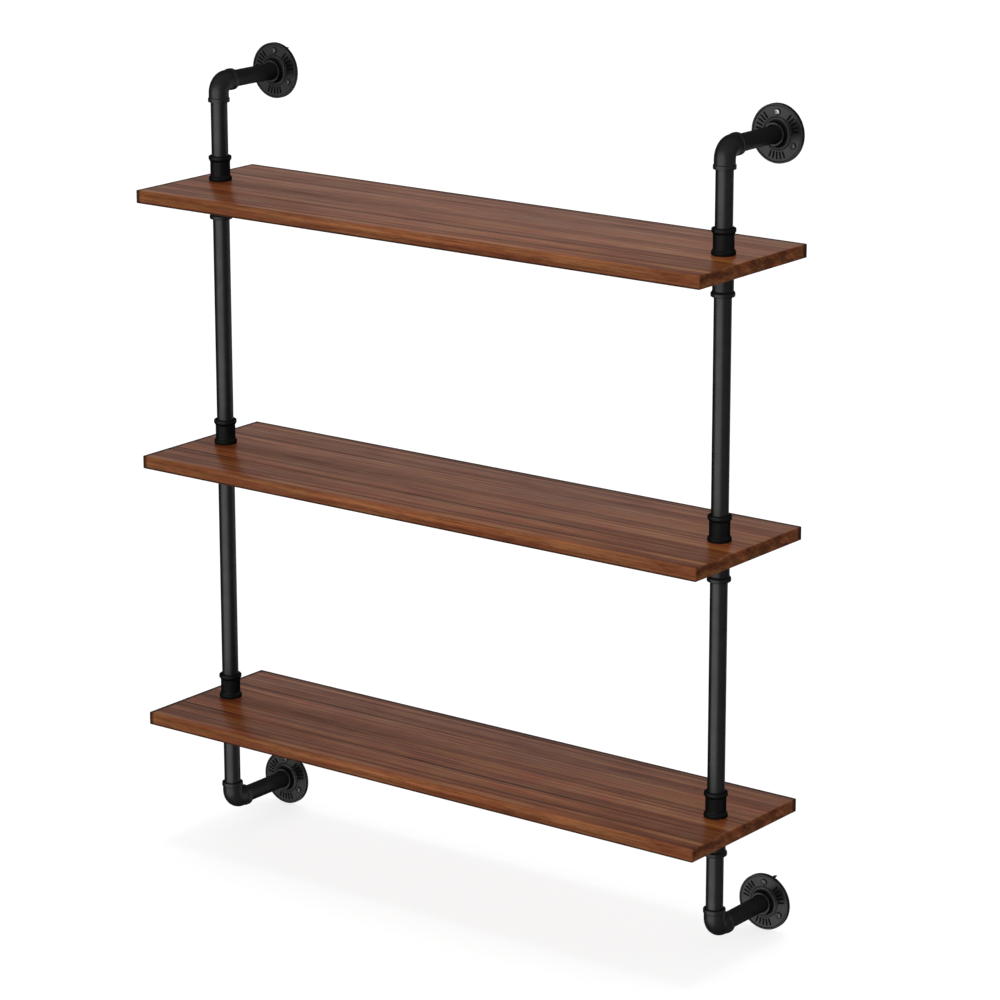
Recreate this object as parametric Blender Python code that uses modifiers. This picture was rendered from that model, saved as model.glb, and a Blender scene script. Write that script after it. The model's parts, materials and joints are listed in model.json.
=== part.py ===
"""Wall shelf: three boards on two uprights of threaded pipe.

Each upright is a run of pipe lengths and cast fittings. A flange is screwed to
the wall, a short arm leaves it, and an elbow turns the run down. At each board
a threaded stud passes through a hole and is gripped by one coupling above and
one below, which clamp the board between them. A second elbow, arm and flange
take the foot of the run back to the wall.

X runs along the boards, Y towards the wall and Z up. The origin lies on the
wall plane, midway between the four flanges.
"""

import math

import bmesh
import bpy
from mathutils import Matrix

MM = 0.001

# Boards
BOARD_NAMES = ("upper", "middle", "lower")
BOARD_LENGTH = 1067 * MM
BOARD_DEPTH = 280 * MM
BOARD_THICKNESS = 21 * MM
BOARD_SPACING = 430 * MM       # from one top face to the next
BOARD_EDGE_ROUND = 1.5 * MM
BOARD_TO_WALL = 2 * MM         # from the back edge to the wall plane
HOLE_CLEARANCE = 0.6 * MM      # round the stud where it passes a board

# Uprights
POST_INSET = 53.5 * MM         # from a board's end to the pipe's axis
END_DROP = 158 * MM            # from an outer board face to the nearest arm's axis

# Pipe
PIPE_DIAMETER = 26.7 * MM
PIPE_WALL = 2.9 * MM
THREAD_DEPTH = 13 * MM         # how far a pipe's end enters a fitting
THREAD_CLEARANCE = 0.3 * MM
SEAT_GAP = 0.3 * MM            # between pieces that bear on each other
ARM_WALL_CLEARANCE = 3 * MM    # from an arm's end to the wall plane

# Couplings
COUPLING_LENGTH = 40 * MM
COUPLING_WALL = 2.2 * MM
BEAD_HEIGHT = 2.4 * MM
BEAD_LENGTH = 9 * MM
BEAD_ROUND = 1.6 * MM

# Elbows
ELBOW_WALL = 2.4 * MM
ELBOW_THROAT = 2 * MM          # inside radius of the bend
ELBOW_SHOULDER = 1 * MM        # past the pipe's end, before the bend starts
BAND_HEIGHT = 1.2 * MM
BAND_LENGTH = 6.5 * MM
BAND_CHAMFER = 0.8 * MM

# Flanges and their screws
FLANGE_DIAMETER = 90 * MM      # over the corners of its facets
FLANGE_THICKNESS = 6 * MM
RIM_HEIGHT = 0.8 * MM
RIM_WIDTH = 2.4 * MM
RIM_ROUND = 1 * MM
HUB_HEIGHT = 17 * MM           # from the wall plane
HUB_WALL = 4.5 * MM
HUB_FILLET = 4 * MM
SCREWS_PER_FLANGE = 3
SCREW_EDGE_DISTANCE = 13 * MM  # from the flange's edge to a screw's axis
LONG_SCREW_LENGTH = 38 * MM    # under the head, for the screw at the top
SHORT_SCREW_LENGTH = 20 * MM   # under the head, for the other two
SCREW_POINT = 7 * MM
SCREW_DIAMETER = 4.2 * MM
SCREW_HEAD_DIAMETER = 9.4 * MM
SCREW_HEAD_HEIGHT = 3 * MM
SCREW_HOLE_CLEARANCE = 0.4 * MM

# Fineness of the round forms
ROUND_STEPS = 18
FLANGE_STEPS = 24
SCREW_STEPS = 8
BEND_STEPS = 4
FILLET_STEPS = 2
SMOOTH_ANGLE = math.radians(35)
WELD = 0.00001
CUTTER_MARGIN = 2 * MM

# Sizes that follow from the ones above
PIPE_RADIUS = PIPE_DIAMETER / 2
SOCKET_RADIUS = PIPE_RADIUS + THREAD_CLEARANCE
WATERWAY_RADIUS = PIPE_RADIUS - PIPE_WALL
COUPLING_RADIUS = SOCKET_RADIUS + COUPLING_WALL
ELBOW_RADIUS = SOCKET_RADIUS + ELBOW_WALL
BEND_RADIUS = ELBOW_RADIUS + ELBOW_THROAT
ELBOW_REACH = BEND_RADIUS + ELBOW_SHOULDER + THREAD_DEPTH
FLANGE_RADIUS = FLANGE_DIAMETER / 2
HUB_RADIUS = SOCKET_RADIUS + HUB_WALL
SCREW_RADIUS = SCREW_DIAMETER / 2
SCREW_CIRCLE_RADIUS = FLANGE_RADIUS - SCREW_EDGE_DISTANCE

POST_X = BOARD_LENGTH / 2 - POST_INSET
POST_Y = -(BOARD_TO_WALL + BOARD_DEPTH / 2)
BOARDS_HEIGHT = BOARD_SPACING * (len(BOARD_NAMES) - 1) + BOARD_THICKNESS
ARM_Z = BOARDS_HEIGHT / 2 + END_DROP
ELBOW_FACE_Z = ARM_Z - ELBOW_REACH
TOP_FACES = [BOARDS_HEIGHT / 2 - BOARD_SPACING * i for i in range(len(BOARD_NAMES))]

FACING_OUT = (math.pi / 2, 0, 0)   # turns a piece's own +Z away from the wall
TURNED_OVER = (0, math.pi, 0)      # turns the top elbow into the bottom one


def clear_scene():
    for thing in list(bpy.data.objects):
        bpy.data.objects.remove(thing)


def new_collection(name):
    collection = bpy.data.collections.new(name)
    bpy.context.scene.collection.children.link(collection)
    return collection


def new_material(name, colour, roughness, metallic):
    material = bpy.data.materials.new(name)
    material.use_nodes = True
    shader = material.node_tree.nodes["Principled BSDF"]
    shader.inputs["Base Color"].default_value = (*colour, 1)
    shader.inputs["Roughness"].default_value = roughness
    shader.inputs["Metallic"].default_value = metallic
    return material


def welded(mesh):
    """Close the seams of a mesh and shade its round parts smooth."""
    shape = bmesh.new()
    shape.from_mesh(mesh)
    bmesh.ops.remove_doubles(shape, verts=shape.verts, dist=WELD)
    shape.to_mesh(mesh)
    shape.free()
    mesh.shade_smooth()
    mesh.set_sharp_from_angle(angle=SMOOTH_ANGLE)
    return mesh


def finished_mesh(model, name):
    """Take a modelled object's evaluated shape as a mesh, and remove the object."""
    bpy.context.view_layer.update()
    graph = bpy.context.evaluated_depsgraph_get()
    mesh = bpy.data.meshes.new_from_object(model.evaluated_get(graph))
    mesh.name = name
    bpy.data.objects.remove(model)
    return welded(mesh)


def place(name, mesh, material, parent, location=(0, 0, 0), rotation=(0, 0, 0)):
    piece = bpy.data.objects.new(name, mesh)
    shelf_parts.objects.link(piece)
    if not mesh.materials:
        mesh.materials.append(material)
    piece.material_slots[0].link = "OBJECT"
    piece.material_slots[0].material = material
    piece.parent = parent
    piece.location = location
    piece.rotation_euler = rotation
    return piece


def turned_mesh(name, profile, steps, closed):
    """Turn a profile of (radius, height) points about Z.

    The points run down the outer side. A closed profile goes back up the bore,
    and an open one starts and ends on the axis.
    """
    mesh = bpy.data.meshes.new(name)
    shape = bmesh.new()
    verts = [shape.verts.new((radius, 0, height)) for radius, height in profile]
    for start, end in zip(verts, verts[1:]):
        shape.edges.new((start, end))
    if closed:
        shape.edges.new((verts[-1], verts[0]))
    shape.to_mesh(mesh)
    shape.free()
    model = bpy.data.objects.new(name, mesh)
    bpy.context.scene.collection.objects.link(model)
    screw = model.modifiers.new("Turn", "SCREW")
    screw.axis = "Z"
    screw.steps = steps
    screw.render_steps = steps
    screw.use_merge_vertices = True
    screw.merge_threshold = WELD
    return finished_mesh(model, name)


def arc_points(centre, radius, start, end, steps):
    """Points on an arc of (radius, height), from angle start to angle end."""
    angles = [start + (end - start) * i / steps for i in range(steps + 1)]
    return [
        (centre[0] + radius * math.cos(angle), centre[1] + radius * math.sin(angle))
        for angle in angles
    ]


def pipe_mesh(name, length):
    """A length of pipe that stands on its lower end."""
    profile = [
        (PIPE_RADIUS, length),
        (PIPE_RADIUS, 0),
        (WATERWAY_RADIUS, 0),
        (WATERWAY_RADIUS, length),
    ]
    return turned_mesh(name, profile, ROUND_STEPS, closed=True)


def coupling_mesh():
    """A straight coupling with a rolled bead round each end, standing on z = 0."""
    bead = COUPLING_RADIUS + BEAD_HEIGHT
    top = COUPLING_LENGTH
    profile = [
        (bead - BEAD_ROUND, top),
        (bead, top - BEAD_ROUND),
        (bead, top - BEAD_LENGTH + BEAD_ROUND),
        (COUPLING_RADIUS, top - BEAD_LENGTH),
        (COUPLING_RADIUS, BEAD_LENGTH),
        (bead, BEAD_LENGTH - BEAD_ROUND),
        (bead, BEAD_ROUND),
        (bead - BEAD_ROUND, 0),
        (SOCKET_RADIUS, 0),
        (SOCKET_RADIUS, top),
    ]
    return turned_mesh("coupling", profile, ROUND_STEPS, closed=True)


def elbow_route(end_sections):
    """Stations (y, z, radius) along the elbow's axis, from the lower face to the rear one.

    end_sections are (distance from the face, radius) pairs for the straight end. The
    last radius is kept round the bend.
    """
    lower = [(0, distance - ELBOW_REACH, radius) for distance, radius in end_sections]
    rear = [(ELBOW_REACH - distance, 0, radius) for distance, radius in reversed(end_sections)]
    bend = arc_points(
        (BEND_RADIUS, -BEND_RADIUS), BEND_RADIUS, math.pi, math.pi / 2, BEND_STEPS
    )
    bend_radius = end_sections[-1][1]
    return lower + [(y, z, bend_radius) for y, z in bend] + rear


def swept_mesh(name, stations):
    """Sweep a circle of changing radius along stations (y, z, radius), ends capped."""
    curve = bpy.data.curves.new(name, "CURVE")
    curve.dimensions = "3D"
    curve.bevel_depth = 1
    curve.bevel_resolution = (ROUND_STEPS - 4) // 2
    curve.use_fill_caps = True
    spline = curve.splines.new("POLY")
    spline.points.add(len(stations) - 1)
    for point, (y, z, radius) in zip(spline.points, stations):
        point.co = (0, y, z, 1)
        point.radius = radius
    model = bpy.data.objects.new(name, curve)
    bpy.context.scene.collection.objects.link(model)
    return finished_mesh(model, name)


def add_cutter(name, mesh, location=(0, 0, 0)):
    cutter = bpy.data.objects.new(name, mesh)
    cutters.objects.link(cutter)
    cutter.location = location
    cutter.display_type = "WIRE"
    cutter.hide_render = True
    return cutter


def cut(piece, cutter):
    boolean = piece.modifiers.new(cutter.name, "BOOLEAN")
    boolean.operation = "DIFFERENCE"
    boolean.solver = "EXACT"
    boolean.object = cutter


def elbow_mesh():
    """A banded elbow, open downwards and towards the wall, with its axes crossing at 0.

    Each end is a socket as deep as the thread, and a narrower way follows the bend.
    """
    band = ELBOW_RADIUS + BAND_HEIGHT
    outside = elbow_route([
        (0, band - BAND_CHAMFER),
        (BAND_CHAMFER, band),
        (BAND_LENGTH - BAND_CHAMFER, band),
        (BAND_LENGTH, ELBOW_RADIUS),
    ])
    socket_end = THREAD_DEPTH + ELBOW_SHOULDER / 2
    inside = elbow_route([
        (-CUTTER_MARGIN, SOCKET_RADIUS),
        (socket_end, SOCKET_RADIUS),
        (socket_end + ELBOW_SHOULDER / 4, WATERWAY_RADIUS),
    ])
    model = bpy.data.objects.new("elbow", swept_mesh("elbow", outside))
    bpy.context.scene.collection.objects.link(model)
    cut(model, add_cutter("elbow_bore", swept_mesh("elbow_bore", inside)))
    return finished_mesh(model, "elbow")


def screw_places():
    """Angles of a flange's screws, clockwise from the top as seen from the front."""
    return [2 * math.pi * i / SCREWS_PER_FLANGE for i in range(SCREWS_PER_FLANGE)]


def flange_mesh():
    """A wall flange with its back on z = 0 and its hub along +Z."""
    face = FLANGE_THICKNESS
    rim = face + RIM_HEIGHT
    rim_inside = FLANGE_RADIUS - RIM_WIDTH
    foot = (HUB_RADIUS + HUB_FILLET, face + HUB_FILLET)
    fillet = arc_points(foot, HUB_FILLET, math.pi, math.pi * 3 / 2, FILLET_STEPS)
    profile = [
        (HUB_RADIUS - RIM_ROUND, HUB_HEIGHT),
        (HUB_RADIUS, HUB_HEIGHT - RIM_ROUND),
        *fillet,
        (rim_inside - RIM_HEIGHT, face),
        (rim_inside, rim),
        (FLANGE_RADIUS - RIM_ROUND, rim),
        (FLANGE_RADIUS, rim - RIM_ROUND),
        (FLANGE_RADIUS, 0),
        (SOCKET_RADIUS, 0),
        (SOCKET_RADIUS, HUB_HEIGHT),
    ]
    body = turned_mesh("flange", profile, FLANGE_STEPS, closed=True)
    half_step = math.pi / FLANGE_STEPS
    body.transform(Matrix.Rotation(half_step, 4, "Z"))   # each screw lies inside one facet
    model = bpy.data.objects.new("flange", body)
    bpy.context.scene.collection.objects.link(model)
    hole = turned_mesh("screw_hole", [
        (0, rim + CUTTER_MARGIN),
        (SCREW_RADIUS + SCREW_HOLE_CLEARANCE, rim + CUTTER_MARGIN),
        (SCREW_RADIUS + SCREW_HOLE_CLEARANCE, -CUTTER_MARGIN),
        (0, -CUTTER_MARGIN),
    ], SCREW_STEPS, closed=False)
    for number, angle in enumerate(screw_places(), start=1):
        x = SCREW_CIRCLE_RADIUS * math.sin(angle)
        y = SCREW_CIRCLE_RADIUS * math.cos(angle)
        cut(model, add_cutter(f"screw_hole_{number}", hole, (x, y, 0)))
    return finished_mesh(model, "flange")


def screw_mesh(name, length):
    """A pan-head wall screw: its head stands on z = 0 and its point hangs below."""
    head = SCREW_HEAD_DIAMETER / 2
    profile = [
        (0, SCREW_HEAD_HEIGHT),
        (head * 0.62, SCREW_HEAD_HEIGHT * 0.9),
        (head, SCREW_HEAD_HEIGHT * 0.4),
        (head, 0),
        (SCREW_RADIUS, 0),
        (SCREW_RADIUS, SCREW_POINT - length),
        (0, -length),
    ]
    return turned_mesh(name, profile, SCREW_STEPS, closed=False)


def add_board(name, top, holes):
    """A board with eased edges, bored for the two uprights."""
    mesh = bpy.data.meshes.new(name)
    shape = bmesh.new()
    bmesh.ops.create_cube(shape, size=1)
    bmesh.ops.scale(
        shape, vec=(BOARD_LENGTH, BOARD_DEPTH, BOARD_THICKNESS), verts=shape.verts
    )
    shape.to_mesh(mesh)
    shape.free()
    board = place(name, mesh, wood, None, (0, POST_Y, top - BOARD_THICKNESS / 2))
    bevel = board.modifiers.new("Eased edges", "BEVEL")
    bevel.width = BOARD_EDGE_ROUND
    bevel.segments = 2
    for hole in holes:
        cut(board, hole)


def add_boards():
    radius = PIPE_RADIUS + HOLE_CLEARANCE
    half = BOARDS_HEIGHT / 2 + CUTTER_MARGIN
    hole = turned_mesh(
        "post_hole", [(0, half), (radius, half), (radius, -half), (0, -half)],
        ROUND_STEPS, closed=False
    )
    holes = [
        add_cutter("post_hole_left", hole, (-POST_X, POST_Y, 0)),
        add_cutter("post_hole_right", hole, (POST_X, POST_Y, 0)),
    ]
    for name, top in zip(BOARD_NAMES, TOP_FACES):
        add_board(f"shelf_{name}", top, holes)


def add_pipe(name, bottom, top, upright):
    """A pipe of the upright, between two heights."""
    place(name, pipe_mesh(name, top - bottom), black_pipe, upright, (0, 0, bottom))


def add_clamp(side, board, top_face, upright):
    """The stud through a board and the couplings that grip it above and below."""
    under_face = top_face - BOARD_THICKNESS
    above = top_face + SEAT_GAP
    below = under_face - SEAT_GAP - COUPLING_LENGTH
    place(f"{side}_coupling_{board}_above", coupling, fitting, upright, (0, 0, above))
    place(f"{side}_coupling_{board}_below", coupling, fitting, upright, (0, 0, below))
    stud_bottom = below + COUPLING_LENGTH - THREAD_DEPTH
    add_pipe(f"{side}_stud_{board}", stud_bottom, above + THREAD_DEPTH, upright)
    return above + COUPLING_LENGTH, below


def add_wall_end(side, end, height, upright):
    """A flange on the wall, its screws, the arm and the elbow at one end of the run."""
    elbow_turn = (0, 0, 0) if end == "top" else TURNED_OVER
    place(f"{side}_elbow_{end}", elbow, fitting, upright, (0, 0, height), elbow_turn)
    wall = -POST_Y
    place(f"{side}_flange_{end}", flange, fitting, upright, (0, wall, height), FACING_OUT)
    arm_end = wall - ARM_WALL_CLEARANCE
    arm = pipe_mesh("arm", arm_end - (ELBOW_REACH - THREAD_DEPTH))
    place(f"{side}_arm_{end}", arm, black_pipe, upright, (0, arm_end, height), FACING_OUT)
    seat = wall - FLANGE_THICKNESS - SEAT_GAP
    for number, angle in enumerate(screw_places(), start=1):
        x = SCREW_CIRCLE_RADIUS * math.sin(angle)
        z = height + SCREW_CIRCLE_RADIUS * math.cos(angle)
        bright = side == "right" and end == "top" and number == 1
        finish = bright_screw if bright else black_screw
        screw = long_screw if number == 1 else short_screw
        name = f"{side}_{end}_screw_{number}"
        place(name, screw, finish, upright, (x, seat, z), FACING_OUT)


def add_upright(side, x):
    """One whole run of pipe, from the top flange to the bottom one."""
    upright = bpy.data.objects.new(f"{side}_upright", None)
    shelf_parts.objects.link(upright)
    upright.location = (x, POST_Y, 0)
    add_wall_end(side, "top", ARM_Z, upright)
    add_wall_end(side, "bottom", -ARM_Z, upright)
    clamps = [
        add_clamp(side, board, top, upright) for board, top in zip(BOARD_NAMES, TOP_FACES)
    ]
    tops = [top for top, bottom in clamps]
    bottoms = [bottom for top, bottom in clamps]
    add_pipe(
        f"{side}_drop_pipe", tops[0] - THREAD_DEPTH, ELBOW_FACE_Z + THREAD_DEPTH, upright
    )
    for number, (bottom, next_top) in enumerate(zip(bottoms, tops[1:]), start=1):
        add_pipe(
            f"{side}_riser_{number}", next_top - THREAD_DEPTH, bottom + THREAD_DEPTH, upright
        )
    add_pipe(
        f"{side}_foot_pipe", -ELBOW_FACE_Z - THREAD_DEPTH, bottoms[-1] + THREAD_DEPTH, upright
    )


clear_scene()
shelf_parts = new_collection("wall_shelf")
cutters = new_collection("cutters")
wood = new_material("walnut_board", (0.16, 0.060, 0.028), 0.42, 0)
black_pipe = new_material("black_pipe", (0.018, 0.018, 0.019), 0.45, 0)
fitting = new_material("black_fitting", (0.016, 0.016, 0.017), 0.5, 0)
black_screw = new_material("black_screw", (0.03, 0.03, 0.032), 0.4, 0.6)
bright_screw = new_material("bright_screw", (0.6, 0.6, 0.6), 0.3, 1)

coupling = coupling_mesh()
elbow = elbow_mesh()
flange = flange_mesh()
long_screw = screw_mesh("long_screw", LONG_SCREW_LENGTH)
short_screw = screw_mesh("short_screw", SHORT_SCREW_LENGTH)
add_boards()
add_upright("left", -POST_X)
add_upright("right", POST_X)
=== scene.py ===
"""Looks of the wall shelf: three dark wooden boards on two uprights of black pipe.

The frame gives every node its size and place. Boards, pipes, couplings, elbows,
flanges and screws are modelled here as fine meshes on those measures.
"""

import json
import math

import bmesh
import bpy
from mathutils import Matrix, Vector

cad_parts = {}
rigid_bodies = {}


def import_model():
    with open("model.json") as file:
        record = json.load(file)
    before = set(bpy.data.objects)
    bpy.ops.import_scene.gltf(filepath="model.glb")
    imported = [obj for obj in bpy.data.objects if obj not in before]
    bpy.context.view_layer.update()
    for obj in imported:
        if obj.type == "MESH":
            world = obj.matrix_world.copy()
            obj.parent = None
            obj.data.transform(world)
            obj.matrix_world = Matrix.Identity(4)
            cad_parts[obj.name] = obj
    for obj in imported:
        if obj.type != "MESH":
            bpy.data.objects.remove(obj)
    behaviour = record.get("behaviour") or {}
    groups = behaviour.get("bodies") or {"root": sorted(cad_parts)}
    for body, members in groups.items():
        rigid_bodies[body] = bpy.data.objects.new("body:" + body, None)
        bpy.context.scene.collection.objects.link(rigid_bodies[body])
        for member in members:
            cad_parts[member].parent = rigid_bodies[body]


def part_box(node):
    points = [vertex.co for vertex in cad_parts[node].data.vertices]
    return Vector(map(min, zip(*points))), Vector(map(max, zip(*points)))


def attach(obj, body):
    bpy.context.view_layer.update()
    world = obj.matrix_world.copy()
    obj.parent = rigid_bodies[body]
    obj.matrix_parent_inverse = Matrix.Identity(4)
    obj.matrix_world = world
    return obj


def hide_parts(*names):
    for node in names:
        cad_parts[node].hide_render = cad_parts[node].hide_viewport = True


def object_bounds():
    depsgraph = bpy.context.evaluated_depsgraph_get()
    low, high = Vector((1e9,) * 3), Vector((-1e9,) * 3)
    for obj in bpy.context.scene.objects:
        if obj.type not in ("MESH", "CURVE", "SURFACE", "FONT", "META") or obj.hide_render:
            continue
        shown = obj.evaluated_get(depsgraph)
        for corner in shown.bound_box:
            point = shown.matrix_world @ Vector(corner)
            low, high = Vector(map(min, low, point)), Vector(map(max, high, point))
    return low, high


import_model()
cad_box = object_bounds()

MM = 0.001
BOARDS = ("upper", "middle", "lower")
SIDES = ("left", "right")
ENDS = ("top", "bottom")
UP = Vector((0, 0, 1))
TO_WALL = Vector((0, 1, 0))
FACING_OUT = Matrix.Rotation(math.pi / 2, 4, "X")   # turns a model's own +Z away from the wall
TURNED_OVER = Matrix.Rotation(math.pi, 4, "Y")      # turns the top elbow into the bottom one
CUTTER_MARGIN = 1 * MM         # how far a cutter stands out of what it cuts
ON_PLANE = 0.001 * MM          # a point this near to a plane lies on it

# Pipe
PIPE_RADIUS = 13.35 * MM
PIPE_WALL = 2.9 * MM
PIPE_CHAMFER = 0.6 * MM
PIPE_STEPS = 72
THREAD_DEPTH = 13 * MM         # how far a pipe's end enters a fitting
THREAD_CLEARANCE = 0.3 * MM
MOUTH_CHAMFER = 1.1 * MM       # round the mouth of every fitting
SOCKET_RADIUS = PIPE_RADIUS + THREAD_CLEARANCE
WATERWAY_RADIUS = PIPE_RADIUS - PIPE_WALL

# Couplings
COUPLING_WALL = 2.2 * MM
COUPLING_RADIUS = SOCKET_RADIUS + COUPLING_WALL
BEAD_HEIGHT = 2.4 * MM
BEAD_LENGTH = 9 * MM
BEAD_ROUND = 1.6 * MM
BEAD_HOLLOW = 0.4 * MM         # from the bead's end to the middle of the hollow beside it
BEAD_STEPS = 6

# Elbows
ELBOW_WALL = 2.4 * MM
ELBOW_RADIUS = SOCKET_RADIUS + ELBOW_WALL
ELBOW_THROAT = 2 * MM          # inside radius of the bend
BEND_RADIUS = ELBOW_RADIUS + ELBOW_THROAT
BEND_STEPS = 20
BAND_HEIGHT = 1.2 * MM
BAND_LENGTH = 6.5 * MM
BAND_CHAMFER = 0.8 * MM
BAND_STEPS = 4
SHOULDER_GAP = 0.5 * MM        # from a pipe's end to where the socket narrows
SHOULDER_SLOPE = 0.25 * MM

# Flanges
flange_low, flange_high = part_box("left_flange_top")
FLANGE_RADIUS = (flange_high.z - flange_low.z) / 2
FLANGE_THICKNESS = 6 * MM
FLANGE_STEPS = 96
BACK_CHAMFER = 0.5 * MM
RIM_HEIGHT = 1.2 * MM
RIM_WIDTH = 2.4 * MM
RIM_ROUND = 1 * MM
HUB_WALL = 4.5 * MM
HUB_RADIUS = SOCKET_RADIUS + HUB_WALL
HUB_HEIGHT = 17 * MM
HUB_ROUND = 1.2 * MM
HUB_FILLET = 4 * MM
COLLAR_RADIUS = 24.2 * MM      # a half-round ring cast round the foot of the hub
COLLAR_ROUND = 1.1 * MM
ROUND_STEPS = 5
COLLAR_STEPS = 6
FILLET_STEPS = 8
SCREWS_PER_FLANGE = 3
SCREW_CIRCLE_RADIUS = 32 * MM
SCREW_HOLE_RADIUS = 2.5 * MM

# Raised cast marks on a flange's face: plain radial bars between the screws
MARKS_PER_GROUP = 5
MARK_STEP = math.radians(10.5)
MARK_LENGTH = 12 * MM
MARK_WIDTH = 3.4 * MM
MARK_HEIGHT = 1.5 * MM
MARK_ROOT = 0.6 * MM           # how deep a bar stands in the face
MARK_END_TAPER = 0.8           # length at the top over length at the foot
MARK_SIDE_TAPER = 0.25         # width at the top over width at the foot
MARK_ROUND = 0.25 * MM
MARK_CIRCLE_RADIUS = 32.5 * MM
FACES_UP = 0.9                 # how far up a normal points on a face that looks up
PAINT_HEIGHT = 0.1 * MM        # over the flange's face, where the marks' painted shade starts
PAINT_MARGIN = 1 * MM          # round the bars' length

# Screws
SCREW_STEPS = 32
SCREW_POINT = 7 * MM
TIP_RADIUS = 0.15 * MM
SHANK_RADIUS = 2.1 * MM
SHANK_LENGTH = 8 * MM          # the plain part under the head
SHANK_STEP = 0.5 * MM          # from the shank down to the core
CORE_RADIUS = 1.6 * MM
THREAD_PITCH = 1.9 * MM
THREAD_HEIGHT = 0.62 * MM
THREAD_OFFSET = 0.1 * MM       # from the core to the middle of the thread's ridge
THREAD_STEPS = 20
THREAD_AT_TIP = 0.05           # how much of the thread's radius is left at the tip
HEAD_RADIUS = 4.7 * MM
HEAD_HEIGHT = 3 * MM
HEAD_ROUND = 0.3 * MM
DOME_START = 0.45 * HEAD_HEIGHT
DOME_STEPS = 8
DOME_STEP = 10                 # degrees
RECESS_WIDTH = 2.1 * MM
RECESS_LENGTH = 6 * MM
RECESS_DEPTH = 2.2 * MM
RECESS_TAPER = 0.35            # size at the bottom over size at the head's top
BRIGHT_SCREW = "right_top_screw_1"

# Boards
EDGE_ROUND = 1.5 * MM
EDGE_STEPS = 4
HOLE_CLEARANCE = 0.6 * MM
# Painted light and shade on the boards' tops: the upper top lit more, the lower ones shaded by the
# boards above them
BOARD_TOP_LIGHT = {"upper": 0.03, "middle": 0.01, "lower": -0.034}   # how much paler a top is

# Wood, from its darkest grain to its lightest: a place on the scale of tones and its colour
WALNUT = (
    (0.12, (0.050, 0.017, 0.010)),
    (0.34, (0.108, 0.036, 0.017)),
    (0.50, (0.172, 0.060, 0.027)),
    (0.66, (0.245, 0.090, 0.040)),
    (0.88, (0.340, 0.145, 0.070)),
)
PLUM = (0.112, 0.046, 0.034, 1)
AMBER = (0.225, 0.078, 0.023, 1)
REDDER = (1.14, 0.88, 0.78, 1)
GREENER = (0.98, 1.20, 0.99, 1)
BROAD_FACE_TINT = (0.88, 0.72, 0.52, 1)  # deepens the board's broad faces
# the colour of the painted shade along the board's edges
EDGE_SHADE = (0.022, 0.011, 0.008, 1)

# How far a look reaches from an edge of the board
FACE_FADE = 0.6 * MM
SIDE_FADE = 1 * MM
FOOT_SHADE = 9 * MM
EDGE_SHADE_UNDER_TOP = 3 * MM
EDGE_SHADE_LEFT = 12 * MM
EDGE_SHADE_BACK = 13 * MM
EDGE_SHADE_END_BACK = 16 * MM
EDGE_SHADE_FOOT = 5 * MM

# Dark and light streaks along a board, in mm: distance from its front edge, half width,
# distance from its left end, half length, and strength
STREAKS = (
    (27, 7, 60, 120, -0.16),
    (27, 6, 900, 90, -0.14),
    (40, 4, 560, 420, 0.07),
    (47, 5, 255, 110, -0.18),
    (60, 5, 520, 600, 0.12),
    (73, 4, 540, 900, -0.30),
    (87, 5, 480, 640, 0.14),
    (103, 4, 510, 110, -0.12),
    (116, 5, 800, 260, 0.12),
    (125, 3, 900, 160, -0.14),
    (136, 12, 205, 130, -0.14),
    (165, 8, 640, 300, -0.06),
    (196, 9, 500, 700, 0.10),
    (221, 8, 150, 130, -0.14),
    (219, 8, 495, 160, -0.13),
    (222, 9, 820, 170, -0.13),
    (247, 8, 430, 500, 0.07),
    (267, 8, 560, 600, -0.12),
)
STREAK_STRENGTH = 1.35

# Camera, fitted to the corners of the boards in the photograph
CAMERA_PLACE = (3.612, -4.821, 1.618)
CAMERA_AZIMUTH = math.radians(37.089)
CAMERA_PITCH = math.radians(15.363)
CAMERA_ROLL = math.radians(-0.068)
CAMERA_LENS = 142.85
CAMERA_SENSOR = 36

# Floor
FLOOR_SIZE = 80
FLOOR_GAP = 0.5 * MM           # under the lowest point of the shelf
FLOOR_GLOW = 0.605             # what the camera sees besides the light on it


def arc(centre, radius, start, end, steps):
    """Points (radius, height) on an arc, between two angles in degrees."""
    angles = [math.radians(start + (end - start) * i / steps) for i in range(steps + 1)]
    return [
        (centre[0] + radius * math.cos(angle), centre[1] + radius * math.sin(angle))
        for angle in angles
    ]


def centre_of(node):
    """The middle of a CAD node's box."""
    low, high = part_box(node)
    return (low + high) / 2


def post_y(side):
    """Where the axis of an upright is along Y."""
    low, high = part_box(f"{side}_drop_pipe")
    return (low.y + high.y) / 2


def select_only(*pieces):
    bpy.ops.object.select_all(action="DESELECT")
    for piece in pieces:
        piece.select_set(True)
    bpy.context.view_layer.objects.active = pieces[0]


def start_edit(piece):
    """Go into edit mode on one piece, with nothing of it selected."""
    select_only(piece)
    bpy.ops.object.mode_set(mode="EDIT")
    bpy.ops.mesh.select_all(action="DESELECT")
    return bmesh.from_edit_mesh(piece.data)


def end_edit():
    bpy.ops.object.mode_set(mode="OBJECT")
    return bpy.context.object


def settle_transform():
    """Put the active piece's place, turn and size into its mesh."""
    bpy.ops.object.transform_apply(location=True, rotation=True, scale=True)


def pick_edges(shape, test):
    """Select, in edit mode, the edges whose two ends both pass a test."""
    bpy.ops.mesh.select_all(action="DESELECT")
    for edge in shape.edges:
        if all(test(vert.co) for vert in edge.verts):
            edge.select_set(True)


def turn_faces_out():
    bpy.ops.mesh.select_all(action="SELECT")
    bpy.ops.mesh.normals_make_consistent(inside=False)


def ring_centre():
    """The middle of the selected points, in the scene's own coordinates."""
    piece = bpy.context.object
    shape = bmesh.from_edit_mesh(piece.data)
    ring = [vert.co for vert in shape.verts if vert.select]
    return piece.matrix_world @ (sum(ring, Vector()) / len(ring))


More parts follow.
